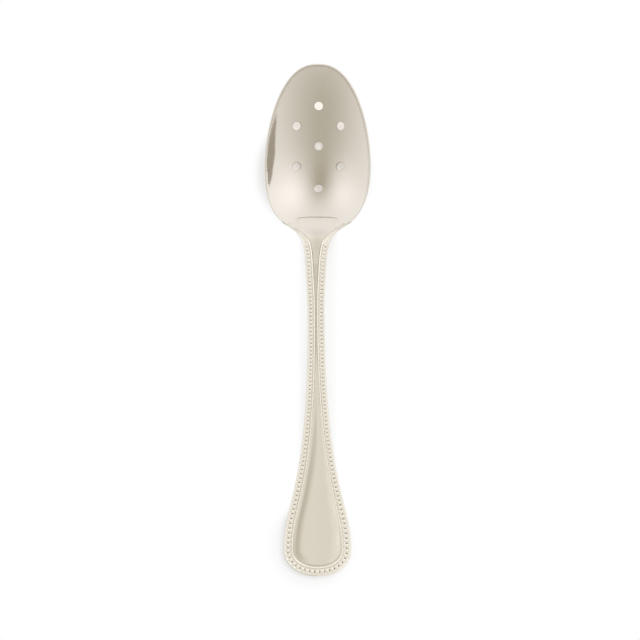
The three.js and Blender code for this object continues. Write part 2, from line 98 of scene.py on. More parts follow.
# Half-width of the spoon along its length
shoulder_half = float(egg_half(np.array(SHOULDER)))
neck_length, waist_length, swell_length = NECK_END - SHOULDER, WAIST - NECK_END, WIDEST_END - WAIST
side_line = np.vstack([
    swept([(shoulder_half, SHOULDER),
           (lerp(NECK_HALF, shoulder_half, SHOULDER_PULL[0]), SHOULDER + SHOULDER_PULL[1] * neck_length),
           (NECK_HALF + NECK_PULL[0], SHOULDER + NECK_PULL[1] * neck_length), (NECK_HALF, NECK_END)]),
    swept([(NECK_HALF, NECK_END),
           (lerp(WAIST_HALF, NECK_HALF, WAIST_PULL[0]), NECK_END + WAIST_PULL[1] * waist_length),
           (WAIST_HALF, NECK_END + WAIST_PULL[2] * waist_length), (WAIST_HALF, WAIST)])[1:],
    swept([(WAIST_HALF, WAIST), (WAIST_HALF, WAIST + SWELL_PULL[0] * swell_length),
           (END_HALF, WIDEST_END - SWELL_PULL[1] * swell_length), (END_HALF, WIDEST_END)])[1:],
])
EVEN, EVEN_FROM, EGG_TO = 0.1, 60, 62
even_stations = np.arange(EVEN_FROM, WIDEST_END + EVEN, EVEN)
sharp_halves = np.where(even_stations < SHOULDER, egg_half(even_stations),
                        np.interp(even_stations, side_line[:, 1], side_line[:, 0]))
even_halves = softened(sharp_halves, EVEN, SIDE_SOFTNESS)


def half_width(s):
    return np.where(s < EGG_TO, egg_half(s), np.interp(s, even_stations, even_halves))


# Height of the edge, and how far the front is hollowed below it
bowl_sweep = swept([(0, TIP_HEIGHT), (DIP_PULL * CROWN, TIP_HEIGHT - RIM_DIP),
                    (CLIMB_PULL * CROWN, CROWN_HEIGHT), (CROWN, CROWN_HEIGHT)])
fall = swept([(CROWN, 1), (lerp(CROWN, LENGTH, FALL_PULL[0]), 1), (lerp(CROWN, LENGTH, FALL_PULL[1]), 0),
              (LENGTH, 0)])
low_half = fall[200:-1]
low_side = np.clip((low_half[:, 0] - WIDEST_END) / (LENGTH - WIDEST_END), 0, 1)
low_thickness = END_EDGE + END_CROWN * (1 - low_side ** 2)
END_HEIGHT = np.max((low_thickness - WEAR - CROWN_HEIGHT * low_half[:, 1]) / (1 - low_half[:, 1]))
handle_sweep = np.column_stack([fall[:, 0], lerp(END_HEIGHT, CROWN_HEIGHT, fall[:, 1])])
sweep = np.vstack([bowl_sweep, handle_sweep[1:]])


def edge_height(s):
    return np.interp(s, sweep[:, 0], sweep[:, 1])


def hollow_share(half):
    return (half / BOWL_HALF) ** CROSS_POWER


DEEP_PART, NUDGE, UPRIGHT_FROM, UPRIGHT_TO = (0.2, 0.8), 0.05, 16, 1
deep = np.linspace(*DEEP_PART, 60) * SHOULDER
BOWL_DEPTH = np.min((edge_height(deep) - WALL + WEAR) / hollow_share(half_width(deep)))


def front_height(s, side):
    in_bowl = BOWL_DEPTH * hollow_share(half_width(np.minimum(s, NECK_END)))
    in_panel = ease(s, NECK_END, WAIST + 0.5 * swell_length)
    depth = lerp(in_bowl, -PANEL_CROWN, in_panel)
    return edge_height(s) - depth * (1 - side ** lerp(CROSS_POWER, PANEL_POWER, in_panel))


def side_of(x, s):
    return np.clip(np.abs(x) / np.maximum(half_width(s), 1e-6), 0, 1)


def bowl_inside(x, s):
    sink = (LAP + SOLDER - TONGUE_LIP) * ease(s, TONGUE_TIP, TAB_END)
    return front_height(s, side_of(x, s)) - sink


def unit(vectors):
    return vectors / np.linalg.norm(vectors, axis=-1, keepdims=True)


def through_wall(x, s):
    """Direction square to the wall, as x, y and z, turning upright under the tongue."""
    slope_x = (bowl_inside(x + NUDGE, s) - bowl_inside(x - NUDGE, s)) / (2 * NUDGE)
    slope_s = (bowl_inside(x, s + NUDGE) - bowl_inside(x, s - NUDGE)) / (2 * NUDGE)
    square = unit(np.stack([-slope_x, slope_s, np.ones_like(slope_x)], axis=-1))
    upright = ease(s, TONGUE_TIP - UPRIGHT_FROM, TONGUE_TIP - UPRIGHT_TO)[..., None]
    return unit(lerp(square, np.array([0.0, 0.0, 1.0]), upright))


def below_inside(x, s, depth):
    """Points at a depth under the inside of the bowl, as x, y and z."""
    depth = np.asarray(depth, float)[..., None]
    return np.stack([x, LENGTH / 2 - s, bowl_inside(x, s)], axis=-1) - depth * through_wall(x, s)


class Wire:
    """One output of a material's nodes, which can be added to, multiplied and so on."""

    def __init__(self, tree, socket):
        self.tree = tree
        self.socket = socket

    def worked(self, operation, *values):
        return self.tree.node("ShaderNodeMath", {"operation": operation}, dict(enumerate(values)))

    def __add__(self, other):
        return self.worked("ADD", self, other)

    def __sub__(self, other):
        return self.worked("SUBTRACT", self, other)

    def __rsub__(self, other):
        return self.worked("SUBTRACT", other, self)

    def __mul__(self, other):
        return self.worked("MULTIPLY", self, other)

    __radd__ = __add__
    __rmul__ = __mul__


class Tree:
    """The nodes of one material or of the world."""

    def __init__(self, owner):
        owner.use_nodes = True
        self.nodes = owner.node_tree.nodes
        self.links = owner.node_tree.links
        self.nodes.clear()

    def node(self, kind, settings=None, sockets=None, out=0):
        made = self.nodes.new(kind)
        for name, value in (settings or {}).items():
            setattr(made, name, value)
        for name, value in (sockets or {}).items():
            if isinstance(value, Wire):
                self.links.new(value.socket, made.inputs[name])
            else:
                made.inputs[name].default_value = value
        return Wire(self, made.outputs[out]) if made.outputs else made


# The silver itself: polished and a little warm, with faint uneven polish and the hairlines of use.
# The second colour is rubbed silver; the third is a dull olive that paints shade into recesses and along
# edges.
CLEAN, RUBBED, PAINTED_SHADE_TONE = (0.93, 0.895, 0.83, 1), (0.96, 0.938, 0.882, 1), (0.62, 0.585, 0.5, 1)
SMEAR_SCALE, HAIR_SCALES, UNEVEN_DEPTH = 60.0, (1500, 60, 200), 0.0001
POLISH, SMEAR_ROUGH, HAIR_ROUGH, SATIN_ROUGH = 0.04, 0.04, 0.03, 0.22


def polished_silver():
    silver = bpy.data.materials.new("polished_silver")
    tree = Tree(silver)
    place = tree.node("ShaderNodeTexCoord", out="Object")
    satin = tree.node("ShaderNodeAttribute", {"attribute_name": "satin"}, out="Fac")
    tarnish = tree.node("ShaderNodeAttribute", {"attribute_name": "tarnish"}, out="Fac")
    smear = tree.node("ShaderNodeTexNoise", sockets={"Vector": place, "Scale": SMEAR_SCALE, "Detail": 3.0})
    lengthwise = tree.node("ShaderNodeVectorMath", {"operation": "MULTIPLY"}, {0: place, 1: HAIR_SCALES})
    hairs = tree.node("ShaderNodeTexNoise", sockets={"Vector": lengthwise, "Scale": 1.0, "Detail": 2.0})
    clean = tree.node("ShaderNodeMix", {"data_type": "RGBA"}, {
        0: satin, 6: CLEAN, 7: RUBBED}, out=2)
    # Painted shade: the colour is darkened towards a dull olive by the painted shade mark
    colour = tree.node("ShaderNodeMix", {"data_type": "RGBA"}, {
        0: tarnish, 6: clean, 7: PAINTED_SHADE_TONE}, out=2)
    uneven = tree.node("ShaderNodeBump", sockets={
        "Height": smear, "Strength": 1.0, "Distance": UNEVEN_DEPTH})
    shader = tree.node("ShaderNodeBsdfPrincipled", sockets={
        "Base Color": colour, "Metallic": 1.0, "Normal": uneven,
        "Roughness": POLISH + SMEAR_ROUGH * smear + HAIR_ROUGH * hairs + SATIN_ROUGH * satin})
    tree.node("ShaderNodeOutputMaterial", sockets={"Surface": shader})
    return silver


silver = polished_silver()


# Points nearer to each other than this, in metres, are made one
WELD = 2e-7


def silver_piece(name, points, faces, sharp=None, **marks):
    """A piece of the spoon; marks are numbers at its points, which its material reads as rubbing and as
    painted shade.
    """
    mesh = bpy.data.meshes.new(name)
    mesh.from_pydata((np.asarray(points) * 0.001).tolist(), [], faces)
    for mark, values in marks.items():
        mesh.attributes.new(mark, "FLOAT", "POINT").data.foreach_set("value", np.asarray(values, float))
    body = bmesh.new()
    body.from_mesh(mesh)
    bmesh.ops.remove_doubles(body, verts=body.verts, dist=WELD)
    bmesh.ops.recalc_face_normals(body, faces=body.faces)
    body.to_mesh(mesh)
    body.free()
    mesh.shade_smooth()
    if sharp:
        mesh.set_sharp_from_angle(angle=math.radians(sharp))
    piece = bpy.data.objects.new(name, mesh)
    piece.data.materials.append(silver)
    bpy.context.collection.objects.link(piece)
    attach(piece, "root")
    return piece


# The rim in plan: down the right side from the tip to the end of the tab, then up the left side
rim_stations = np.concatenate([
    WIDEST * (1 - np.cos(np.linspace(0, 0.5, 90) * np.pi)), np.linspace(WIDEST, TAB_END, 75)[1:]])
rim_half = half_width(rim_stations) - TAB_INSET * ease(rim_stations, SHOULDER, SHOULDER + 3)
rim_half[0] = 0
right_rim = np.column_stack([rim_half, rim_stations])
outer_rim = np.vstack([right_rim, (right_rim * [-1, 1])[:0:-1]])
run = np.roll(outer_rim, -1, axis=0) - np.roll(outer_rim, 1, axis=0)
outward = unit(np.column_stack([-run[:, 1], run[:, 0]]))
outward *= -np.sign(np.sum(outward * (np.array([0, WIDEST]) - outer_rim), axis=1, keepdims=True))
outward[0] = (0, -1)
in_tab = ease(outer_rim[:, 1], SHOULDER - 4, SHOULDER)
turns = np.linspace(0, np.pi, 11)


def rim_roll(inner):
    """The rounded rim from the inside of the bowl over to the outside, ring by ring."""
    x, s = inner[:, 0], inner[:, 1]
    direction = through_wall(x, s)
    behind = bowl_inside(x - NUDGE * outward[:, 0], s - NUDGE * outward[:, 1])
    rise = (bowl_inside(x, s) - behind) / NUDGE
    away = unit(np.column_stack([outward[:, 0], -outward[:, 1], rise]))
    top = below_inside(x, s, np.zeros(len(x)))
    bulge = lerp(RIM_ROUND, TAB_ROUND, in_tab)[:, None]
    return [top + bulge * np.sin(a) * away - WALL / 2 * (1 - np.cos(a)) * direction for a in turns]


inner_rim = outer_rim.copy()
for _ in range(4):
    rings = np.array(rim_roll(inner_rim))
    reach = np.max((rings[:, :, 0] - inner_rim[:, 0]) * outward[:, 0]
                   - (rings[:, :, 1] - (LENGTH / 2 - inner_rim[:, 1])) * outward[:, 1], axis=0)
    inner_rim = outer_rim - reach[:, None] * outward

# The wall between rim and drains: rings round each drain and an even field of points elsewhere
drain_turns = np.linspace(0, 2 * np.pi, 49)[:-1]


def drain_ring(side, station, radius):
    axis = through_wall(np.array(side * DRAIN_SPREAD), np.array(station))
    across = unit(np.cross([0, 1, 0], axis))
    along = np.cross(axis, across)
    spokes = np.outer(np.cos(drain_turns), across) + np.outer(np.sin(drain_turns), along)
    x, s = side * DRAIN_SPREAD + radius * spokes[:, 0], station - radius * spokes[:, 1]
    return np.column_stack([x, s])


DRAIN_RINGS = (0, 0.3, 0.7, 1.2)
plan = [inner_rim]
edges = [(i, (i + 1) % len(inner_rim)) for i in range(len(inner_rim))]
drain_first = []
for side, station in DRAINS:
    start = sum(len(part) for part in plan)
    drain_first.append(start)
    count = len(drain_turns)
    edges += [(start + i, start + (i + 1) % count) for i in range(count)]
    plan += [drain_ring(side, station, DRAIN_RADIUS + DRAIN_EDGE + more) for more in DRAIN_RINGS]

PITCH, ROW_PITCH, RIM_ROOM, RIM_MARGIN, DRAIN_ROOM = 0.8, 0.866, 0.65, 0.3, 4.1
field = []
for row, s in enumerate(np.arange(0.6, TAB_END - 0.5, PITCH * ROW_PITCH)):
    for x in np.arange(-BOWL_HALF - (row % 2) * PITCH / 2, BOWL_HALF, PITCH):
        field.append((x, s))
field = np.array(field)
far_from_rim = np.min(np.linalg.norm(field[:, None] - inner_rim[None], axis=2), axis=1) > RIM_ROOM * PITCH
right_inner = inner_rim[:len(right_rim)]
half_inside = np.interp(field[:, 1], right_inner[:, 1], right_inner[:, 0])
inside_rim = np.abs(field[:, 0]) < half_inside - RIM_MARGIN
centres = np.array([(side * DRAIN_SPREAD, station) for side, station in DRAINS])
far_from_drains = np.min(np.linalg.norm(field[:, None] - centres[None], axis=2), axis=1) > DRAIN_ROOM
field = field[far_from_rim & inside_rim & far_from_drains]
plan = np.vstack(plan + [field])

net = delaunay_2d_cdt([Vector(p) for p in plan], edges, [list(range(len(inner_rim)))], 1, 1e-5)
net_plan = np.array([tuple(v) for v in net[0]])
came_from = {origin: i for i, origins in enumerate(net[3]) for origin in origins}
on_drain = np.full(len(net_plan), -1)
for i, first in enumerate(drain_first):
    on_drain[[came_from[first + k] for k in range(len(drain_turns))]] = i
# The net also fills the drains, so a face with every corner on one drain is left out
triangles = [list(face) for face in net[2] if len({on_drain[corner] for corner in face} | {-1}) > 2
             or -1 in on_drain[list(face)]]

# Marks on the bowl: the rim is rubbed dull, painted shade runs as a dark line along the inside edge of the
# rim, strongest at the tip, and painted shade darkens the walls and lips of the drains
RIM_SATIN, RIM_SHADE, DRAIN_WALL_SHADE, DRAIN_LIP_SHADE, RIM_SHADE_FADES = 0.8, (0.45, 0.2), 1, 0.6, (15, 45)


def joined_bowl():
    x, s = net_plan[:, 0], net_plan[:, 1]
    top = below_inside(x, s, np.zeros(len(x)))
    bottom = below_inside(x, s, np.full(len(x), WALL))
    points = [top, bottom]
    count = len(top)
    a, b, c = (net_plan[[face[i] for face in triangles]] for i in range(3))
    turned = np.cross(b - a, c - a) > 0
    faces = []
    for face, backwards in zip(triangles, turned):
        up = face[::-1] if backwards else face
        faces.append(up)
        faces.append([count + corner for corner in up[::-1]])
    # Rim
    loop = [came_from[i] for i in range(len(inner_rim))]
    rim_rings = rim_roll(inner_rim)[1:-1]
    faces += bridge(points, loop, rim_rings, [count + i for i in loop])
    # Drains: a filed edge, a straight wall and a filed edge again
    steps = np.linspace(0, np.pi / 2, 5)
    profile = [(DRAIN_EDGE * (1 - math.sin(a)), DRAIN_EDGE * (1 - math.cos(a))) for a in steps[1:]]
    profile += [(more, WALL - depth) for more, depth in profile[::-1]]
    for (side, station), first in zip(DRAINS, drain_first):
        loop = [came_from[first + i] for i in range(len(drain_turns))]
        rings = []
        for more, depth in profile:
            ring = drain_ring(side, station, DRAIN_RADIUS + more)
            rings.append(below_inside(ring[:, 0], ring[:, 1], np.full(len(ring), depth)))
        faces += bridge(points, loop, rings, [count + i for i in loop])
    points = np.vstack(points)
    points[:, 2] = np.maximum(points[:, 2], 0)
    satin, tarnish = np.zeros(len(points)), np.zeros(len(points))
    satin[2 * count:2 * count + len(rim_rings) * len(inner_rim)] = RIM_SATIN
    # Painted shade: a dark line along the inside edge of the rim, strongest near the tip
    rim_shade = lerp(*RIM_SHADE, ease(inner_rim[:, 1], *RIM_SHADE_FADES))
    tarnish[[came_from[i] for i in range(len(inner_rim))]] = rim_shade
    # Painted shade on the walls and lips of the drains
    tarnish[-len(DRAINS) * len(profile) * len(drain_turns):] = DRAIN_WALL_SHADE
    drain_lips = [came_from[first + i] for first in drain_first for i in range(len(drain_turns))]
    tarnish[drain_lips] = DRAIN_LIP_SHADE
    return points, faces, satin, tarnish


def bridge(points, first_loop, rings, last_loop):
    """Quads from one loop of points over rings of new points to another loop."""
    start = sum(len(part) for part in points)
    loops = [first_loop]
    for ring in rings:
        points.append(ring)
        loops.append(list(range(start, start + len(ring))))
        start += len(ring)
    loops.append(last_loop)
    return [[a[i], a[(i + 1) % len(a)], b[(i + 1) % len(a)], b[i]]
            for a, b in zip(loops, loops[1:]) for i in range(len(a))]


bowl_points, bowl_faces, bowl_satin, bowl_tarnish = joined_bowl()
bowl = silver_piece("bowl_shell", bowl_points, bowl_faces, satin=bowl_satin, tarnish=bowl_tarnish)
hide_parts("bowl")


# Handle: one forged bar from the thin tongue in the heel of the bowl to the rounded end. A flange is
# left standing along its edge, and the face inside it is struck down for the beads, rail and panel.
END_POWER = 2.12
TONGUE_INSET, FAN_TOP, FAN_LEVEL = 0.5, 82.0, 88.0
WAIST_EDGE, WAIST_CROWN, CORNER = 2.1, 1.5, 0.25
FLANGE, BEAD_RADIUS, RAIL, SEAT = (0.55, 0.75), (0.935, 1.23), (1.15, 1.45), (0.7, 0.9)
BEAD_GAP, SLANT = 0.09, 0.1
BORDER_START, FAINT_FLANGE, FAINT_CHANNEL, FAINT_RAIL = 8.8, 0.3, 0.15, 0.7
CORNER_LIP, LIP_FADE, PANEL_RISE, PANEL_ROUND, PANEL_FOOT = -0.12, (8.0, 10.8), 30, 0.05, 0.8
STEM_SINK, PANEL_SINKS = 0.45, (130, 175)
TONGUE_ROLL, TONGUE_CORNER, THIN_SHARE, TONGUE_LEAST, BACK_ROUND = 0.5, 0.9, 0.4, 0.1, 0.35
TROUGH = ((0.05, 0.15), (0.28, 0.35), (0.5, 1), (0.72, 0.35), (0.96, 0.25))
RAIL_SHARES, BACK_SHARES = (0.3, 0.96), (1, 0.95, 0.85, 0.72, 0.58, 0.44, 0.3, 0.18)
PANEL_SHARES = (0, 0.04, 0.12, 0.22, 0.34, 0.46, 0.58, 0.7, 0.8, 0.88, 0.95, 1)

tongue_half = shoulder_half - TONGUE_INSET
tongue_line = swept([(0, TONGUE_TIP), (0.6 * shoulder_half, TONGUE_TIP - 0.1),
                     (0.78 * shoulder_half, lerp(TONGUE_TIP, SHOULDER, 0.2)),
                     (tongue_half, SHOULDER - TONGUE_INSET / 2)], 160)
long_side = np.arange(SHOULDER + 0.8, WIDEST_END, 0.2)
round_end = np.linspace(0, np.pi / 2, 241)
end_line = np.column_stack([END_HALF * np.cos(round_end) ** (2 / END_POWER),
                            WIDEST_END + (LENGTH - WIDEST_END) * np.sin(round_end) ** (2 / END_POWER)])
outline = np.vstack([tongue_line, np.column_stack([half_width(long_side), long_side]), end_line])
outline[-1] = (0, LENGTH)
along_outline = np.concatenate([[0], np.cumsum(np.linalg.norm(np.diff(outline, axis=0), axis=1))])
whole = along_outline[-1]
tongue_edge = along_outline[160]


def swell(s):
    """0 as far as the waist, and 1 where the handle is widest."""
    return np.clip((half_width(s) - WAIST_HALF) / (END_HALF - WAIST_HALF), 0, 1) * (s > WAIST)


def length_at(s):
    return np.interp(s, outline[161:, 1], along_outline[161:])


def outline_at(length):
    place = np.column_stack([np.interp(length, along_outline, outline[:, i]) for i in (0, 1)])
    ahead, behind = (
        np.column_stack([np.interp(length + step, along_outline, outline[:, i]) for i in (0, 1)])
        for step in (0.3, -0.3))
    run = unit(ahead - behind)
    return place, np.column_stack([-run[:, 1], run[:, 0]])


def in_from_edge(length, distance):
    """Points at a distance in from the edge: x, station, and the share of the way out to the edge."""
    place, inward = outline_at(length)
    s = place[:, 1]
    fan = np.clip((s - SHOULDER) / (FAN_LEVEL - SHOULDER), 0, 1)
    spine = np.where(s > WIDEST_END, WIDEST_END, np.where(s > FAN_LEVEL, s, lerp(FAN_TOP, FAN_LEVEL, fan)))
    across = np.column_stack([-place[:, 0], spine - s])
    reach = np.linalg.norm(across, axis=1)
    across = across / reach[:, None]
    square = np.maximum(0.35, np.sum(across * inward, axis=1))
    step = np.minimum(distance / square, reach)
    spot = place + across * step[:, None]
    return spot[:, 0], spot[:, 1], 1 - step / reach, reach * square


def border_at(length):
    s = outline_at(length)[0][:, 1]
    full = ease(s, SHOULDER, SHOULDER + BORDER_START) * (length >= tongue_edge)
    radius = lerp(*BEAD_RADIUS, swell(s))
    return {"s": s, "radius": radius, "flange": lerp(FAINT_FLANGE, lerp(*FLANGE, swell(s)), full),
            "channel": lerp(FAINT_CHANNEL, SLANT + 2 * (radius + BEAD_GAP), full),
            "rail": lerp(FAINT_RAIL, lerp(*RAIL, swell(s)), full), "seat": lerp(*SEAT, swell(s)) * full}


def handle_front(spot, seat):
    x, s, side, _ = spot
    lip = lerp(TONGUE_LIP, CORNER_LIP, ease(np.abs(x), *LIP_FADE)) * (1 - ease(s, TONGUE_TIP, TAB_END))
    return front_height(s, np.where(s < TAB_END, side_of(x, s), side)) + lip - seat


def handle_back(spot):
    x, s, side, _ = spot
    settled = ease(s, TAB_END, WAIST)
    edge = lerp(LAP + SOLDER + WALL, lerp(WAIST_EDGE, END_EDGE, swell(s)), settled)
    crown = lerp(WAIST_CROWN, END_CROWN, swell(s)) * settled
    own = np.maximum(edge_height(s) - edge - crown * (1 - side ** 2), 0)
    under_tongue = np.minimum(bowl_inside(x, s) + SOLDER, handle_front(spot, 0) - TONGUE_LEAST)
    return np.where(s < TAB_END, under_tongue, own)


lengths = np.sort(np.concatenate([
    np.linspace(0, tongue_edge, 90), np.linspace(tongue_edge, length_at(100), 90)[1:],
    np.linspace(length_at(100), length_at(WIDEST_END), 260)[1:],
    np.linspace(length_at(WIDEST_END), whole, 80)[1:], [length_at(TAB_END) + 0.12]]))
border = border_at(lengths)
middle_reach = in_from_edge(lengths, np.zeros(len(lengths)))[3]


def front_points(distance, seat, drop=0.0):
    spot = in_from_edge(lengths, np.minimum(distance, middle_reach))
    return np.column_stack([spot[0], LENGTH / 2 - spot[1], handle_front(spot, seat) - drop])


def back_points(distance, lift=0.0):
    spot = in_from_edge(lengths, np.minimum(distance, middle_reach))
    return np.column_stack([spot[0], LENGTH / 2 - spot[1], handle_back(spot) + lift])


none = np.zeros(len(lengths))
thickness = front_points(none, none)[:, 2] - back_points(none)[:, 2]
on_tongue = 1 - ease(lengths, tongue_edge - 3, tongue_edge)
corner = np.minimum(CORNER, THIN_SHARE * thickness) * (1 - on_tongue) + TONGUE_CORNER * thickness * on_tongue
roll = lerp(corner, TONGUE_ROLL, on_tongue)
flange, seat = border["flange"], border["seat"]
panel = np.minimum(flange + border["channel"] + border["rail"], middle_reach)
columns = []
for a in np.linspace(0, np.pi / 2, 5):
    columns.append(front_points(roll * (1 - np.cos(a)), none, corner * (1 - np.sin(a))))
columns += [front_points(lerp(roll, flange, share), none) for share in (0.5, 0.9)]
rail_line = flange + border["channel"]
for share, depth in TROUGH:
    columns.append(front_points(lerp(flange, rail_line, share), depth * seat))
columns += [front_points(lerp(rail_line, panel, share), seat) for share in RAIL_SHARES]
for share in PANEL_SHARES:
    inward = lerp(panel, middle_reach, share)
    panel_s = in_from_edge(lengths, inward)[1]
    sunk_in_stem = STEM_SINK * ease(panel_s, FAN_TOP, FAN_TOP + PANEL_RISE)
    risen = 1 - lerp(sunk_in_stem, 1, ease(panel_s, *PANEL_SINKS))
    risen = risen * lerp(PANEL_FOOT, 1, ease(share, 0, PANEL_ROUND))
    columns.append(front_points(inward, seat * (1 - risen)))
spine_front = len(columns) - 1
columns += [back_points(share * middle_reach) for share in BACK_SHARES]
back_round = np.minimum(BACK_ROUND, THIN_SHARE * thickness)
for a in np.linspace(0, np.pi / 2, 5):
    columns.append(back_points(back_round * (1 - np.sin(a)), back_round * (1 - np.cos(a))))


def mirrored_sections(columns, spine):
    """Both halves of a piece from the columns of its sections, which meet on the middle line."""
    points, faces, size, count = [], [], len(columns), len(columns[0])
    right = np.stack(columns, axis=1)
    right[0, :, 0] = right[-1, :, 0] = 0
    right[:, spine:spine + 2, 0] = 0
    for hand in (1, -1):
        start = len(points) * count * size
        points.append((right * [hand, 1, 1]).reshape(-1, 3))
        for i in range(count - 1):
            for j in range(size):
                if j == spine:
                    continue
                k = (j + 1) % size
                face = [start + i * size + j, start + (i + 1) * size + j,
                        start + (i + 1) * size + k, start + i * size + k]
                faces.append(face if hand > 0 else face[::-1])
    return np.vstack(points), faces


# Marks on the handle, by section and by column of points. The border is rubbed dull. Painted shade lies
# along the edge of the tongue, at the foot of the rail round the end and in the trough, in a band on the
# left of the panel, and as a dark line along the left outer edge.
TONGUE_EDGE_SHADE, RAIL_FOOT_SHADE, TROUGH_SHADE, LEFT_BAND_SHADE, EDGE_LINE_SHADE = 0.85, 0.8, 0.2, 0.9, (0.3, 0.55)
ROUND_END, PAST_NECK, IN_NECK, LINE_DARKENS = (215, 240), (88, 118), (86, 96), (232, 244)
BAND_RISE, BAND_FALL, BAND_START, BAND_STOP = (0.2, 1.3), (1.5, 4.6), (130, 222), (3, 17)
NECK_RUB = 0.35
TROUGH_FIRST, RAIL_TOP, PANEL_FIRST, BACK_EDGE = 7, 13, 14, 5

outline_s = outline_at(lengths)[0][:, 1]
on_tongue_edge = on_tongue * (1 - ease(outline_at(lengths)[0][:, 0], *LIP_FADE))
at_end, past_neck = ease(outline_s, *ROUND_END), ease(outline_s, *PAST_NECK)
in_neck = (1 - ease(outline_s, *IN_NECK)) * (1 - on_tongue)
in_border, on_edge, outer_edge, in_trough, rail_foot = np.zeros((5, len(columns)))
in_border[:PANEL_FIRST] = in_border[-BACK_EDGE:] = 1
on_edge[:3] = 1
outer_edge[:5] = 1
in_trough[TROUGH_FIRST:RAIL_TOP] = 1
rail_foot[RAIL_TOP:RAIL_TOP + 3] = (1, 1, 0.6)
# Painted shade on both hands: the edge of the tongue, the foot of the rail round the end, and the trough
both_sides = (np.outer(TONGUE_EDGE_SHADE * on_tongue_edge, on_edge) + np.outer(RAIL_FOOT_SHADE * at_end, rail_foot)
              + np.outer(TROUGH_SHADE * past_neck * (1 - at_end), in_trough))
from_rail = np.zeros((len(lengths), len(columns)))
for column, share in enumerate(PANEL_SHARES, PANEL_FIRST):
    from_rail[:, column] = share * (middle_reach - panel)
# Painted shade in a band on the left of the panel, just inside the rail
left_band = ease(from_rail, *BAND_RISE) * (1 - ease(from_rail, *BAND_FALL))
# Painted shade as a dark line along the outer edge of the left hand, darker round the end
edge_line = EDGE_LINE_SHADE[0] * past_neck + EDGE_LINE_SHADE[1] * ease(outline_s, *LINE_DARKENS)
band_strength = LEFT_BAND_SHADE * ease(outline_s, *BAND_START)
band_strength *= 1 - ease(lengths - length_at(WIDEST_END), *BAND_STOP)
left_side = both_sides + left_band * band_strength[:, None] + np.outer(edge_line, outer_edge)
handle_satin = np.outer(1 - on_tongue, in_border) + np.outer(NECK_RUB * in_neck, 1 - in_border)
handle = silver_piece("handle_bar", *mirrored_sections(columns, spine_front), sharp=50,
                      satin=np.tile(handle_satin.ravel(), 2),
                      tarnish=np.concatenate([both_sides.ravel(), np.clip(left_side, 0, 1).ravel()]))
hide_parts("handle")


# Rail: a smooth half-round moulding soldered inside the beads. It frames the panel, and at the neck
# its two ends run out over the shoulders of the bowl.
RAIL_RISE, RAIL_FADE, RAIL_CLEAR, RAIL_START = 0.35, 0.2, 0.06, 1.2

rail_lengths = lengths[lengths > tongue_edge + RAIL_START]
rail_border = border_at(rail_lengths)
rail_faded = 1 - ease(rail_border["s"], SHOULDER, SHOULDER + 4)
rail_height = rail_border["seat"] + lerp(RAIL_RISE, RAIL_FADE, rail_faded) - SOLDER
rail_inner = rail_border["flange"] + rail_border["channel"] + rail_border["rail"] - RAIL_CLEAR
rail_outer = rail_border["flange"] + rail_border["channel"] + RAIL_CLEAR
rail_turns = np.linspace(0, np.pi, 13)
rail_rings = []
for a in rail_turns:
    spot = in_from_edge(rail_lengths, lerp(rail_inner, rail_outer, (1 + np.cos(a)) / 2))
    z = handle_front(spot, rail_border["seat"]) + SOLDER + np.sin(a) * rail_height
    rail_rings.append(np.column_stack([spot[0], LENGTH / 2 - spot[1], z]))
right_rail = np.stack(rail_rings, axis=1)
right_rail[-1, :, 0] = 0
whole_rail = np.concatenate([right_rail, (right_rail * [-1, 1, 1])[-2::-1]])


def moulding(rings):
    """Points and faces of a closed moulding through rings of points."""
    count, size = rings.shape[:2]
    faces = [[i * size + j, i * size + (j + 1) % size, (i + 1) * size + (j + 1) % size, (i + 1) * size + j]
             for i in range(count - 1) for j in range(size)]
    faces += [list(range(size)), list(range((count - 1) * size, count * size))]
    return rings.reshape(-1, 3), faces


rail_points, rail_faces = moulding(whole_rail)
rail = silver_piece("rail_moulding", rail_points, rail_faces, sharp=60, satin=np.ones(len(rail_points)))
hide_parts("rail_border")


# Beads: one wire struck into round beads that just touch, seated in the channel inside the flange.
# They follow the edge from the neck round the end and back, and grow larger towards the end.
BEAD_START = 8.2
GAP_REACH, GAP_WIDTH, GAP_START, GAP_SHADE, NECK_SATIN = (0.62, 0.92), (0.25, 0.55), (92, 125), 0.52, 0.8


def bead_seat(length):
    length = np.atleast_1d(length)
    here = border_at(length)
    middle = here["flange"] + (SLANT + here["channel"]) / 2
    spots = [in_from_edge(length, middle + side * here["radius"]) for side in (-1, 0, 1)]
    z = np.max([handle_front(spot, here["seat"]) for spot in spots], axis=0) + SOLDER
    return np.column_stack([spots[1][0], LENGTH / 2 - spots[1][1], z]), here["radius"]


search = np.arange(whole, length_at(SHOULDER + BEAD_START), -0.02)
seats, seat_radius = bead_seat(search)
chosen = [0]
for i in range(len(search)):
    last = chosen[-1]
    if np.linalg.norm(seats[i] - seats[last]) >= seat_radius[i] + seat_radius[last]:
        chosen.append(i)
right_beads, right_radius = seats[chosen], seat_radius[chosen]
bead_places = np.vstack([(right_beads * [-1, 1, 1])[:0:-1], right_beads])
bead_radius = np.concatenate([right_radius[:0:-1], right_radius])

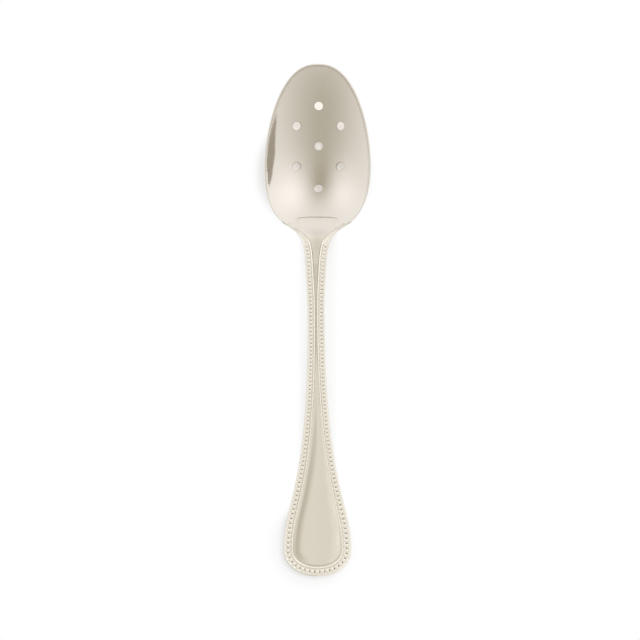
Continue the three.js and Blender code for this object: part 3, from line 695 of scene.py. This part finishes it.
BEAD_ROUND = 16
bead_rows = [(1.0, -0.1), (1.0, 0.15), (0.98, 0.36), (0.93, 0.56), (0.84, 0.73), (0.68, 0.86), (0.42, 0.945)]
angles = np.linspace(0, 2 * np.pi, BEAD_ROUND + 1)[:-1]
dome = np.vstack([np.column_stack([w * np.cos(angles), w * np.sin(angles), np.full(BEAD_ROUND, h)])
                  for w, h in bead_rows] + [[[0, 0, 0.965]]])
dome_faces = [[r * BEAD_ROUND + j, r * BEAD_ROUND + (j + 1) % BEAD_ROUND,
               (r + 1) * BEAD_ROUND + (j + 1) % BEAD_ROUND, (r + 1) * BEAD_ROUND + j]
              for r in range(len(bead_rows) - 1) for j in range(BEAD_ROUND)]
top_row = (len(bead_rows) - 1) * BEAD_ROUND
dome_faces += [[top_row + j, top_row + (j + 1) % BEAD_ROUND, len(dome) - 1] for j in range(BEAD_ROUND)]
dome_faces.append(list(range(BEAD_ROUND))[::-1])
# Painted shade where each bead meets the next, fading in past the neck
beside_next = ease(np.abs(dome[:, 0]), *GAP_REACH) * (1 - ease(np.abs(dome[:, 1]), *GAP_WIDTH))
bead_points, bead_faces, bead_satin, bead_tarnish = [], [], [], []
for i, (place, radius) in enumerate(zip(bead_places, bead_radius)):
    before, after = bead_places[max(i - 1, 0)], bead_places[min(i + 1, len(bead_places) - 1)]
    run = unit(after - before)
    across = unit(np.cross(run, [0, 0, 1]))
    up = np.cross(across, run)
    start = len(bead_points) * len(dome)
    bead_points.append(place + radius * (dome @ np.array([run, across, up])))
    bead_faces += [[start + corner for corner in face] for face in dome_faces]
    bead_satin.append(np.full(len(dome), 1 + NECK_SATIN * (1 - ease(LENGTH / 2 - place[1], *GAP_START))))
    bead_tarnish.append(GAP_SHADE * beside_next * ease(LENGTH / 2 - place[1], *GAP_START))
beads = silver_piece("bead_wire", np.vstack(bead_points), bead_faces,
                     satin=np.concatenate(bead_satin), tarnish=np.concatenate(bead_tarnish))
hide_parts("bead_border")


# Drop: a long tear of metal soldered under the heel, over the joint of bowl and handle. It is
# thickest towards the bowl and thins to nothing along the back of the neck.
DROP_REACH, DROP_TAIL, DROP_HALF, DROP_THICK = 13, 24, 5.2, 1.1
DROP_NOSE, DROP_POINT, DROP_TAPER, DROP_TAPER_POWER, DROP_MARGIN = 9, 6, 0.55, 1.5, 1
DROP_TOP, DROP_UNDER = (1, 0.75, 0.5, 0.25, 0), (0, 0.2, 0.4, 0.6, 0.75, 0.87, 0.96)

drop_share = (1 - np.cos(np.linspace(0, np.pi, 90))) / 2
drop_s = lerp(SHOULDER - DROP_REACH, SHOULDER + DROP_TAIL, drop_share)
nose = np.sqrt(np.clip((drop_s - drop_s[0]) / DROP_NOSE, 0, 1))
point = np.sqrt(np.clip((drop_s[-1] - drop_s) / DROP_POINT, 0, 1))
tapered = DROP_HALF * nose * (1 - DROP_TAPER * drop_share ** DROP_TAPER_POWER)
drop_half = point * np.minimum(tapered, half_width(drop_s) - DROP_MARGIN)


def under_joint(share, depth):
    x = share * drop_half
    in_bowl = below_inside(x, drop_s, WALL + SOLDER + depth)
    z = handle_back((x, drop_s, side_of(x, drop_s), None)) - SOLDER - depth
    under_neck = np.column_stack([x, LENGTH / 2 - drop_s, z])
    return np.where((drop_s < TAB_END)[:, None], in_bowl, under_neck)


drop_swell = DROP_THICK * np.minimum(1, drop_half / DROP_HALF + 0.25)
drop_columns = [under_joint(share, 0 * drop_s) for share in DROP_TOP]
drop_columns += [under_joint(share, drop_swell * (1 - share ** 2)) for share in DROP_UNDER]
drop = silver_piece("drop_under_heel", *mirrored_sections(drop_columns, len(DROP_TOP) - 1), sharp=50)
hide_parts("heel_drop")


# Table and studio: a white table in an even white room, with a large soft light on the right.
# Polished silver shows the room itself, which is brighter on both sides and dark overhead.
# The table glows white to the camera and the silver, with a painted shadow near the spoon and the real
# shadow mixed in.
SHADED_GLOW, HEEL_SHADE, TIP_GLOW = 0.5, 0.22, 0.1
STEM_SIDE, STEM_MIDDLE, STEM_REACH = (0.004, 0.011), -0.03, (0.083, 0.1)
# Places on the table under the spoon where shade is painted: the point, and where the painted shade begins
# to fade and is gone
UNDER_END, UNDER_BOWL = ((-0.003, -0.1105, 0), 0.0165, 0.0235), ((-0.0022, 0.073, 0), 0.0245, 0.0315)
UNDER_HEEL, UNDER_TIP = ((0, 0.064, 0), 0.016, 0.022), ((0, 0.1, 0), 0.013, 0.018)
UNDER_MIDDLE, UNDER_DRAINS = ((0, 0.0854, 0), 0.004, 0.009), ((0, 0.084, 0), 0.0235, 0.026)
DEEP_SHADE, SOFT_SHADE, WHITE = (0.78, 0.72, 0.63, 1), (1, 0.925, 0.84, 1), (1, 1, 1, 1)
TABLE_WHITE, TABLE_IN_SILVER = (0.95, 0.95, 0.95, 1), (0.87, 0.85, 0.82, 1)

bpy.ops.mesh.primitive_plane_add(size=4)
table = bpy.context.object
table.name = "table"
white = bpy.data.materials.new("white_table")
tree = Tree(white)
place = tree.node("ShaderNodeTexCoord", out="Object")
sideways, lengthways = (
    tree.node("ShaderNodeSeparateXYZ", sockets={"Vector": place}, out=axis) for axis in "XY")


def beyond(distance, near, far):
    """0 nearer than one distance and 1 farther than another, in metres."""
    return tree.node("ShaderNodeMapRange", {"interpolation_type": "SMOOTHSTEP"}, {
        "Value": distance, "From Min": near, "From Max": far})


def away_from(point, near, far):
    distance = tree.node("ShaderNodeVectorMath", {"operation": "DISTANCE"},
                         {0: place, 1: point}, out="Value")
    return beyond(distance, near, far)


from_middle = lengthways - STEM_MIDDLE
off_stem = sideways.worked("MAXIMUM", beyond(sideways.worked("ABSOLUTE", sideways), *STEM_SIDE),
                           beyond(from_middle.worked("ABSOLUTE", from_middle), *STEM_REACH))
# Painted shadow: the glow is dimmed near the stem, the end and the bowl, more under the heel, and painted
# light is added under the tip
open_table = off_stem * away_from(*UNDER_END) * away_from(*UNDER_BOWL)
heel_shade = 1 - HEEL_SHADE * (1 - away_from(*UNDER_HEEL))
glow = (SHADED_GLOW + (1 - SHADED_GLOW) * open_table) * heel_shade + TIP_GLOW * (1 - away_from(*UNDER_TIP))
to_camera, to_metal = (
    tree.node("ShaderNodeLightPath", out=kind) for kind in ("Is Camera Ray", "Is Glossy Ray"))
shaded = tree.node("ShaderNodeBsdfPrincipled", sockets={
    "Base Color": TABLE_WHITE, "Roughness": 0.9, "Specular IOR Level": 0.1})
# Painted warm shade on the table seen through the drains, deepest under the middle drain; in the silver the
# table shows a greyer white
in_shade = tree.node("ShaderNodeMix", {"data_type": "RGBA"}, {
    0: away_from(*UNDER_MIDDLE), 6: DEEP_SHADE, 7: SOFT_SHADE}, out=2)
to_eye = tree.node("ShaderNodeMix", {"data_type": "RGBA"}, {
    0: away_from(*UNDER_DRAINS), 6: in_shade, 7: WHITE}, out=2)
glow_colour = tree.node("ShaderNodeMix", {"data_type": "RGBA"}, {
    0: to_metal, 6: to_eye, 7: TABLE_IN_SILVER}, out=2)
glowing = tree.node("ShaderNodeEmission", sockets={"Color": glow_colour, "Strength": 1.0})
tree.node("ShaderNodeOutputMaterial", sockets={"Surface": tree.node("ShaderNodeMixShader", sockets={
    0: glow * to_camera.worked("MAXIMUM", to_camera, to_metal), 1: shaded, 2: glowing})})
table.data.materials.append(white)

# The room as the silver sees it. A patch is its brightness, its angle down from straight up, its turn
# from +X towards +Y and how tight it is; a disc is its angle down, its turn and its radius.
ROOM, SIDES = 0.606, 0.245
PATCHES = [(0.312, 57, 47, 9.3), (0.265, 59, 137, 11.7), (-0.2, 34.8, 104, 18.3), (-0.168, 29.5, 227, 1.55)]
DARK_AT, BRIGHT_SPAN = 0.42, 0.58
DARK_TINT, BRIGHT_TINT = (0.451, 0.42, 0.348, 1), (1.029, 1.0, 1.0, 1)
CRESCENT, CRESCENT_TINT = ((32.8, 40.8, 49.0), (111.3, -6.7, 47.0)), (0.365, 0.325, 0.272, 1)
ROOM_LIGHT = (0.72, 0.72, 0.72, 1)

world = bpy.data.worlds.new("studio")
bpy.context.scene.world = world
tree = Tree(world)
direction = tree.node("ShaderNodeTexCoord", out="Generated")


def pointing(height, turn):
    """A direction from its angle down and its turn, both in degrees."""
    down, round_z = math.radians(height), math.radians(turn)
    return (math.sin(down) * math.cos(round_z), math.sin(down) * math.sin(round_z), math.cos(down))


def facing(height, turn):
    return tree.node("ShaderNodeVectorMath", {"operation": "DOT_PRODUCT"},
                     {0: direction, 1: pointing(height, turn)}, out="Value")


def soft_patch(height, turn, tightness):
    nearness = facing(height, turn)
    return nearness.worked("EXPONENT", tightness * (nearness - 1))


def disc(height, turn, radius, soft=0.4):
    """1 inside a round patch of the room and 0 outside it."""
    low, high = (math.cos(math.radians(radius + step)) for step in (soft, -soft))
    return tree.node("ShaderNodeMapRange", {"interpolation_type": "SMOOTHSTEP"}, {
        "Value": facing(height, turn), "From Min": low, "From Max": high})


up = tree.node("ShaderNodeSeparateXYZ", sockets={"Vector": direction}, out="Z")
studio = ROOM + SIDES * (1 - up)
for brightness, height, turn, tightness in PATCHES:
    studio = studio + brightness * soft_patch(height, turn, tightness)
tint = tree.node("ShaderNodeMix", {"data_type": "RGBA", "clamp_factor": False}, {
    0: (studio - DARK_AT) * (1 / BRIGHT_SPAN), 6: DARK_TINT, 7: BRIGHT_TINT}, out=2)
tint = tree.node("ShaderNodeMix", {"data_type": "RGBA"}, {
    0: disc(*CRESCENT[0]) * disc(*CRESCENT[1]), 6: tint, 7: CRESCENT_TINT}, out=2)
mirrored = tree.node("ShaderNodeLightPath", out="Is Glossy Ray")
seen = tree.node("ShaderNodeLightPath", out="Is Camera Ray")
plain = tree.node("ShaderNodeMix", {"data_type": "RGBA"}, {
    0: seen, 6: ROOM_LIGHT, 7: WHITE}, out=2)
shown = tree.node("ShaderNodeMix", {"data_type": "RGBA"}, {0: mirrored, 6: plain, 7: tint}, out=2)
tree.node("ShaderNodeOutputWorld", sockets={"Surface": tree.node("ShaderNodeBackground", sockets={
    "Color": shown, "Strength": 1.0})})


def soft_light(name, place, size, brightness):
    """A rectangular light that hangs level; brightness is what a mirror below it shows."""
    lamp = bpy.data.lights.new(name, "AREA")
    lamp.shape = "RECTANGLE"
    lamp.size, lamp.size_y = size
    lamp.energy = brightness * math.pi * size[0] * size[1]
    light = bpy.data.objects.new(name, lamp)
    light.location = place
    light.visible_camera = False
    bpy.context.collection.objects.link(light)
    return light


KEY_PLACE, KEY_SIZE, KEY_BRIGHTNESS = (0.75, 0.6, 1.0), (0.8, 0.8), 3.9
key = soft_light("soft_light", KEY_PLACE, KEY_SIZE, KEY_BRIGHTNESS)
key.rotation_euler = (Vector((0, 0, 0)) - key.location).to_track_quat("-Z", "Y").to_euler()
key.visible_glossy = False

# Long strips of light hung low over the handle, which only the handle and its border catch. Each is
# given by its left and right ends, its lower and upper ends and its brightness.
STRIP_HEIGHT = 0.3
HANDLE_STRIPS = [(-0.35, -0.06, -0.4, -0.13, 0.42), (-0.06, -0.052, -0.4, -0.13, 0.34),
                 (-0.052, -0.018, -0.4, -0.13, 0.27), (-0.018, -0.002, -0.4, -0.13, 0.25),
                 (-0.002, 0.012, -0.4, -0.13, 0.31), (0.012, 0.35, -0.4, -0.13, 0.42),
                 (-0.35, -0.045, -0.13, 0.06, 0.48), (-0.045, 0.015, -0.13, 0.06, 0.14),
                 (0.015, 0.35, -0.13, 0.06, 0.48), (-0.35, 0.35, 0.06, 0.32, 0.23),
                 (-0.35, 0.35, 0.32, 0.4, 0.13), (-0.35, 0.35, 0.4, 0.46, 0.05)]
RAIL_STRIPS = [(-0.35, 0, -0.45, -0.13, 0.25), (0, 0.35, -0.45, -0.13, 0.42),
               (-0.35, 0, -0.13, 0.35, 0.46), (0, 0.35, -0.13, 0.35, 0.65)]
BEAD_STRIPS = [(-0.35, 0.35, -0.45, -0.13, 0.29), (-0.35, 0.35, -0.13, 0.35, 0.36)]


def hang_strips(strips, piece):
    lit = bpy.data.collections.new("lit_by_strips")
    lit.objects.link(piece)
    for left, right, low, high, brightness in strips:
        strip = soft_light("strip", ((left + right) / 2, (low + high) / 2, STRIP_HEIGHT),
                           (right - left, high - low), brightness)
        strip.light_linking.receiver_collection = lit


hang_strips(HANDLE_STRIPS, handle)
hang_strips(RAIL_STRIPS, rail)
hang_strips(BEAD_STRIPS, beads)

# Camera: almost straight above the spoon, leaning a little to the right. It takes in a view as wide as
# VIEW_WIDTH at the height it is aimed at. Sizes are in metres and angles in degrees.
DISTANCE, TILT, ROLL, SENSOR, VIEW_WIDTH = 1.6, 3.5, 0.2, 36, 0.3114
AIM = Vector((0.0014, 0.0003, 0.01))
camera = bpy.data.objects.new("camera", bpy.data.cameras.new("camera"))
bpy.context.collection.objects.link(camera)
away = Vector((math.sin(math.radians(TILT)), 0, math.cos(math.radians(TILT))))
camera.location = AIM + DISTANCE * away
camera.rotation_euler = (0, math.radians(TILT), 0)
camera.rotation_euler.rotate_axis("Z", math.radians(ROLL))
camera.data.sensor_width = SENSOR
camera.data.lens = SENSOR * DISTANCE / VIEW_WIDTH
bpy.context.scene.camera = camera

bpy.context.scene.view_settings.view_transform = "Standard"
